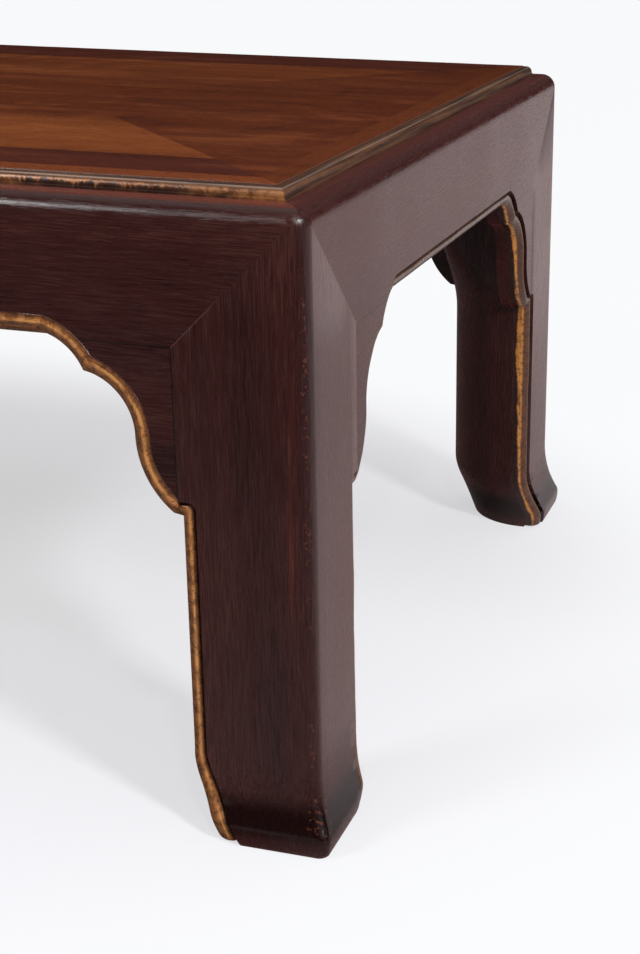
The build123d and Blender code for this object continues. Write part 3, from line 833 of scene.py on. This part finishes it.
def stripObject(name, line, across, depth, seed, material, side, flip=False):
    # a section carried along a line, waved a little in depth; line: (rows, columns, 2) in s and z,
    # depth: columns or (rows, columns); the section's columns start with two points of its cut side
    rows, columns = line.shape[:2]
    crown = line[:, 2 + bead["frontPoints"] // 2]
    length = np.concatenate([[0], np.cumsum(np.hypot(*np.diff(crown, axis=0).T))])
    depth = np.broadcast_to(depth, (rows, columns)).copy()
    across = np.broadcast_to(across, (rows, columns))
    front = np.zeros(columns)
    inner = bead["frontPoints"] - 2
    front[3:3 + inner] = np.sin(np.linspace(0, math.pi, inner))
    depth += bead["wobble"] * front[None, :] * (0.6 + smoothWave(length, seed, bead["wobbleLength"]))[:, None]
    points = np.stack([line[..., 0], depth, line[..., 1]], -1)
    if flip:
        points = points * np.array([-1, 1, 1])
    reach = np.concatenate([depth[:, 2:3] - depth[:, :2], across[:, 2:]], axis=1)
    uvs = np.stack([np.broadcast_to(length[:, None], reach.shape), reach], -1)
    obj = makeObject(name, onSide(points, side), gridFaces(rows, columns), uvs, material)
    return tidyMesh(obj, 40)


def legBeadLine(half):
    # level nose at the head, a turn whose radius grows towards the arris, then down to the sole
    across, depth = beadSection(False)
    shares = across / bead["width"]
    turnRadius = np.maximum(across - (bead["width"] - bead["noseRound"]), 0)
    topS = legWidth - across
    topZ = bead["noseHeight"] + across
    flat = np.linspace(0, 1, 5)[:, None]
    level = np.stack([legWidth + (topS + turnRadius - legWidth) * flat, topZ + 0 * flat], -1)
    angle = quarterTurn(7)[1:, None]
    bend = np.stack([topS + turnRadius * (1 - np.sin(angle)), topZ - turnRadius * (1 - np.cos(angle))], -1)
    z = np.concatenate([np.linspace(200, 75, 22), np.linspace(71, 14, 39), np.linspace(12.5, 2, 8)]) * mm
    inner = legInner(z)[:, None]
    width = inner - legArris(z)[:, None]
    down = np.stack([inner - width * shares, np.broadcast_to(z[:, None], (len(z), len(shares)))], -1)
    line = np.concatenate([level, bend, down])
    line[..., 0] -= half
    heights = np.concatenate([np.full(len(level) + len(bend), 0.2), z])
    depths = depth[None, :] - faceFlare(heights)[:, None]
    return line, across, depths


def makeBeads():
    for side, name in enumerate(sideNames):
        half = sideHalf[side]
        across, depth = beadSection(side % 2 == 0)
        archGilt = archBeadGilt[side % 2]
        run = apronRun(across, half)
        obj = stripObject("gilt_apron_bead_" + name, run, across, depth, 10 + side, archGilt, side)
        place(obj, "gilt_bead", "apron_bead_" + name)
        for end, endName in enumerate(sideEnds[side]):
            cornerName = name + "_" + endName
            run = scallopRun(across)
            run[..., 0] -= half
            seed = 20 + side * 4 + end
            obj = stripObject("gilt_spandrel_bead_" + cornerName, run, across, depth, seed,
                              archGilt, side, end == 1)
            place(obj, "gilt_bead", "spandrel_bead_" + cornerName)
            obj = stripObject("gilt_leg_bead_" + cornerName, *legBeadLine(half), seed + 40,
                              legBeadGilt[side % 2], side, end == 1)
            place(obj, "gilt_bead", "leg_bead_" + cornerName)


makeBeads()
print("beads made")


moulding = {
    "fillet": 1.3 * mm, "step": 0.7 * mm, "ovoloWidth": 4.3 * mm, "ovoloTop": 7.9 * mm,
    "grooveWidth": 0.8 * mm, "grooveDepth": 0.8 * mm, "flatWidth": 1.2 * mm, "width": 8.5 * mm,
    "wave": 0.12 * mm, "waveLength": 0.13,
}


def mouldingProfile():
    # inset from the frame's face, height and place on the profile, from the outer foot over the top to
    # the panel: fillet, quarter round, groove, flat and a thin rounded lip
    m = moulding
    rise = topHeight - frameHeight
    turn = quarterTurn(12)
    bottom = m["fillet"] + 0.4 * mm
    ovoloS = m["step"] + m["ovoloWidth"] * (1 - np.cos(turn))
    ovoloZ = bottom + (m["ovoloTop"] - bottom) * np.sin(turn)
    ovoloV = 1.6 * mm + 7.6 * mm * turn / turn[-1]
    groove = m["step"] + m["ovoloWidth"]
    grooveS = groove + m["grooveWidth"] * np.array([0.3, 0.6, 1.0])
    grooveZ = m["ovoloTop"] - m["grooveDepth"] * np.array([0.8, 1.0, 0.3])
    grooveV = np.array([9.4, 9.7, 10.1]) * mm
    flat = groove + m["grooveWidth"]
    flatS = flat + m["flatWidth"] * np.array([0.15, 1.0])
    flatZ = m["ovoloTop"] + np.array([0.0, 0.1]) * mm
    flatV = np.array([10.3, 11.3]) * mm
    lip = flat + m["flatWidth"]
    bow = np.linspace(0, math.pi, 8)
    lipS = lip + (m["width"] - lip) * (1 - np.cos(bow)) / 2
    lipZ = m["ovoloTop"] - 0.3 * mm + (rise - m["ovoloTop"] + 0.3 * mm) * np.sin(bow) ** 0.7
    lipZ[-1] = rise - 0.5 * mm
    lipV = np.linspace(11.5, 13.5, 8) * mm
    s = np.concatenate([[0, 0, m["step"] * 0.6], ovoloS, grooveS, flatS, lipS, [m["width"]]])
    z = np.concatenate([[0, m["fillet"], m["fillet"] + 0.2 * mm], ovoloZ, grooveZ, flatZ, lipZ, [0]])
    v = np.concatenate([[0, 1.2 * mm, 1.4 * mm], ovoloV, grooveV, flatV, lipV, [14 * mm]])
    return s + ledgeWidth, z + frameHeight, v


def makeMoulding():
    # the profile carried along each side to the mitres, which every point of it meets at its own inset
    inset, height, onProfile = mouldingProfile()
    for side, name in enumerate(sideNames):
        half = sideHalf[side]
        count = int(half * 2 / (8 * mm))
        share = np.linspace(-1, 1, count)[:, None]
        s = share * (half - inset)[None, :]
        wave = smoothWave(s, 70 + side, moulding["waveLength"]) * moulding["wave"]
        lift = np.clip((height - frameHeight) / (topHeight - frameHeight), 0, 1)
        z = height[None, :] - np.abs(wave) * lift[None, :]
        t = np.broadcast_to(inset[None, :], s.shape)
        points = np.stack([s, t, z], -1)
        uvs = np.stack([s, np.broadcast_to(onProfile[None, :], s.shape)], -1)
        obj = makeObject("gilt_moulding_" + name, onSide(points, side), gridFaces(*s.shape), uvs,
                         mouldingGilt[side % 2])
        tidyMesh(obj, 40)
        place(obj, "gilt_moulding", "top_moulding_" + name)


makeMoulding()
print("moulding made")


def finish(node, material):
    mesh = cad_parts[node].data
    mesh.materials.clear()
    mesh.materials.append(material)


carcaseWood = [makeCarcaseWood("X"), makeCarcaseWood("Y")]
screwSteel = makeScrewSteel()
fieldEnd = makeVeneer("field_side", veneer["field"], "X", -0.01)
fields = [makeVeneer("field_front", veneer["field"], "X", 0.0, 1.0, 1.0), fieldEnd,
          makeVeneer("field_back", veneer["field"], "X", 0.02, 1.0, 0.35), fieldEnd]
crossbands = [makeVeneer("crossband_x", veneer["crossband"], "X"),
              makeVeneer("crossband_y", veneer["end"], "X")]
lippingEnd = makeVeneer("lipping_y", veneer["endLipping"], "Y", 0.0, 0.4)
lippings = [makeVeneer("lipping_front", veneer["lipping"], "X", 0.0, 0.4), lippingEnd,
            makeVeneer("lipping_back", veneer["crossband"], "X", 0.0, 0.4), lippingEnd]

for side, name in enumerate(sideNames):
    finish("apron_" + name, sideWood[side % 2])
    finish("cleat_" + name, carcaseWood[side % 2])
    finish("field_veneer_" + name, fields[side])
    finish("crossband_veneer_" + name, crossbands[side % 2])
    finish("lipping_veneer_" + name, lippings[side])
    for endName in sideEnds[side]:
        finish("spandrel_" + name + "_" + endName, sideWood[side % 2])
finish("top_core", carcaseWood[0])
for name in ("left", "right"):
    finish("batten_" + name, carcaseWood[1])
finish("top_screws", screwSteel)
print("CAD nodes finished")


studio = {
    "floorSize": 30, "floorColour": (0.865, 0.865, 0.925), "white": (0.968, 0.974, 0.984),
    "middleHalf": 0.25, "whiteFrom": (0.42, 0.72), "whiteShare": (0.55, 0.96),
    "shade": tuple(0.36 * k for k in (0.95, 0.94, 1.0)),
    "glossDepth": (-1.7, 2.3),
    "gloss": [(0.0, (0.04, 0.04, 0.04)), (0.13, (0.12, 0.12, 0.12)), (0.27, (0.24, 0.24, 0.24)),
              (0.335, (0.60, 0.54, 0.54)), (0.62, (0.55, 0.50, 0.50)), (0.80, (0.82, 0.74, 0.74))],
    # the dark settings give painted shadow in what gloss sees of the floor
    "darkUpTo": (0.62, 0.72), "darkFrom": (-0.42, -0.34), "darkest": 0.12,
    "roomHeight": (0.10, 0.50, 0.008, 1.0), "roomRight": (-0.25, 0.65, 0.05, 0.34),
}


def makeFloor():
    # pale floor that keeps its shadows near the table and runs out to white further off;
    # for gloss it glows as a painted reflection, pale behind and beside the table and dim in front, with
    # painted shadow under the table
    half = studio["floorSize"] / 2
    points = np.array([(-half, -half, 0), (half, -half, 0), (half, half, 0), (-half, half, 0)])
    floor = makeObject("studio_floor", points, [(0, 1, 2, 3)])
    material, tree, shader, coords = newMaterial("studio_floor")
    shader["Base Color"].default_value = (*studio["floorColour"], 1)
    shader["Roughness"].default_value = 0.9
    shader["Specular IOR Level"].default_value = 0.1
    path = tree.nodes.new("ShaderNodeLightPath").outputs
    x, y, z = partsOf(tree, coords["Object"])
    # distance from a line along the table's middle: root of (x beyond its ends)^2 + y^2
    beyond = larger(tree, minus(tree, unsigned(tree, x), studio["middleHalf"]), 0.0)
    squares = plus(tree, times(tree, beyond, beyond), times(tree, y, y))
    away = mapRange(tree, calc(tree, "SQRT", squares), *studio["whiteFrom"], *studio["whiteShare"])
    gloss = ramp(tree, mapRange(tree, y, *studio["glossDepth"]), studio["gloss"])
    # painted shadow: what gloss sees of the floor is darkened under and behind the table, up to its right
    # end, but not in front
    inFront = falling(tree, y, *studio["darkFrom"])
    under = larger(tree, mapRange(tree, x, *studio["darkUpTo"], studio["darkest"], 1.0), inFront)
    gloss = mixColours(tree, under, (0, 0, 0), gloss)
    surface = tree.nodes["Principled BSDF"].outputs[0]
    whitened = times(tree, away, path["Is Camera Ray"])
    for factor, colour in ((whitened, studio["white"]), (path["Is Glossy Ray"], gloss)):
        glow = tree.nodes.new("ShaderNodeEmission")
        plug(tree, glow.inputs["Color"], colour)
        mix = tree.nodes.new("ShaderNodeMixShader")
        for socket, given in zip(mix.inputs, (factor, surface, glow.outputs[0])):
            tree.links.new(given, socket)
        surface = mix.outputs[0]
    tree.links.new(surface, tree.nodes["Material Output"].inputs[0])
    floor.data.materials.append(material)


def makeWorld():
    # white behind the table, soft even light for surfaces, and for gloss a dim room, lighter to the right
    world = bpy.data.worlds.new("studio")
    bpy.context.scene.world = world
    world.use_nodes = True
    tree = world.node_tree
    background = tree.nodes["Background"].inputs
    path = tree.nodes.new("ShaderNodeLightPath").outputs
    coords = tree.nodes.new("ShaderNodeTexCoord")
    x, y, z = partsOf(tree, coords.outputs["Generated"])
    height = mapRange(tree, z, *studio["roomHeight"])
    room = times(tree, height, mapRange(tree, x, *studio["roomRight"]))
    shade = mixColours(tree, path["Is Camera Ray"], studio["shade"], studio["white"])
    dim = tree.nodes.new("ShaderNodeCombineColor")
    for socket in dim.inputs:
        tree.links.new(room, socket)
    light = mixColours(tree, path["Is Glossy Ray"], shade, dim.outputs[0])
    tree.links.new(light, background[0])
    background[1].default_value = 1.0


def softbox(name, position, target, lightSize, watts):
    light = bpy.data.lights.new(name, "AREA")
    light.shape = "RECTANGLE"
    light.size, light.size_y = lightSize
    light.energy = watts
    obj = bpy.data.objects.new(name, light)
    bpy.context.scene.collection.objects.link(obj)
    away = np.array(position, float) - np.array(target, float)
    away /= np.linalg.norm(away)
    right = np.cross((0, 0, 1), away) if abs(away[2]) < 0.99 else np.array((1.0, 0, 0))
    right /= np.linalg.norm(right)
    up = np.cross(away, right)
    turn = Matrix(np.column_stack([right, up, away]).tolist()).to_4x4()
    obj.matrix_world = Matrix.Translation(position) @ turn


def towards(azimuth, elevation, distance, target):
    # azimuth from +Y towards +X
    a, e = math.radians(azimuth), math.radians(elevation)
    ray = np.array([math.sin(a) * math.cos(e), math.cos(a) * math.cos(e), math.sin(e)])
    return np.array(target) + ray * distance


# from the corner or the front edge: azimuth, elevation and distance, then size and watts
cornerTop = (halfLength - 12 * mm, -halfDepth + 12 * mm, frameHeight - 12 * mm)
frontEdge = (halfLength - 0.2, -halfDepth, frameHeight)
softboxes = {
    "from_right": (cornerTop, (119, 33, 2.8), (0.34, 0.34), 58),
    "from_left": (frontEdge, (-138, 29, 3.0), (0.75, 0.55), 40),
    "from_front": (cornerTop, (150.4, 47.9, 2.5), (0.16, 0.16), 7),
}
makeFloor()
makeWorld()
softbox("overhead", (0.2, 0.1, 2.6), (0.3, 0, 0.2), (2.4, 1.8), 9)
for name, (target, direction, lightSize, watts) in softboxes.items():
    softbox(name, towards(*direction, target), target, lightSize, watts)

view = {
    "position": (1.03136, -1.23829, 0.61966), "focal": 64.71, "shift": (-0.1234, -0.0169),
    "right": (0.95936, 0.28213, 0.00504), "down": (0.09990, -0.32289, -0.94115),
    "forward": (-0.26390, 0.90341, -0.33795),
}
cameraData = bpy.data.cameras.new("camera")
cameraData.lens = view["focal"]
cameraData.sensor_width = 36
cameraData.shift_x, cameraData.shift_y = view["shift"]
camera = bpy.data.objects.new("camera", cameraData)
bpy.context.scene.collection.objects.link(camera)
axes = np.column_stack([view["right"], -np.array(view["down"]), -np.array(view["forward"])])
camera.matrix_world = Matrix.Translation(view["position"]) @ Matrix(axes.tolist()).to_4x4()
bpy.context.scene.camera = camera
bpy.context.scene.view_settings.view_transform = "Standard"
print("studio made")
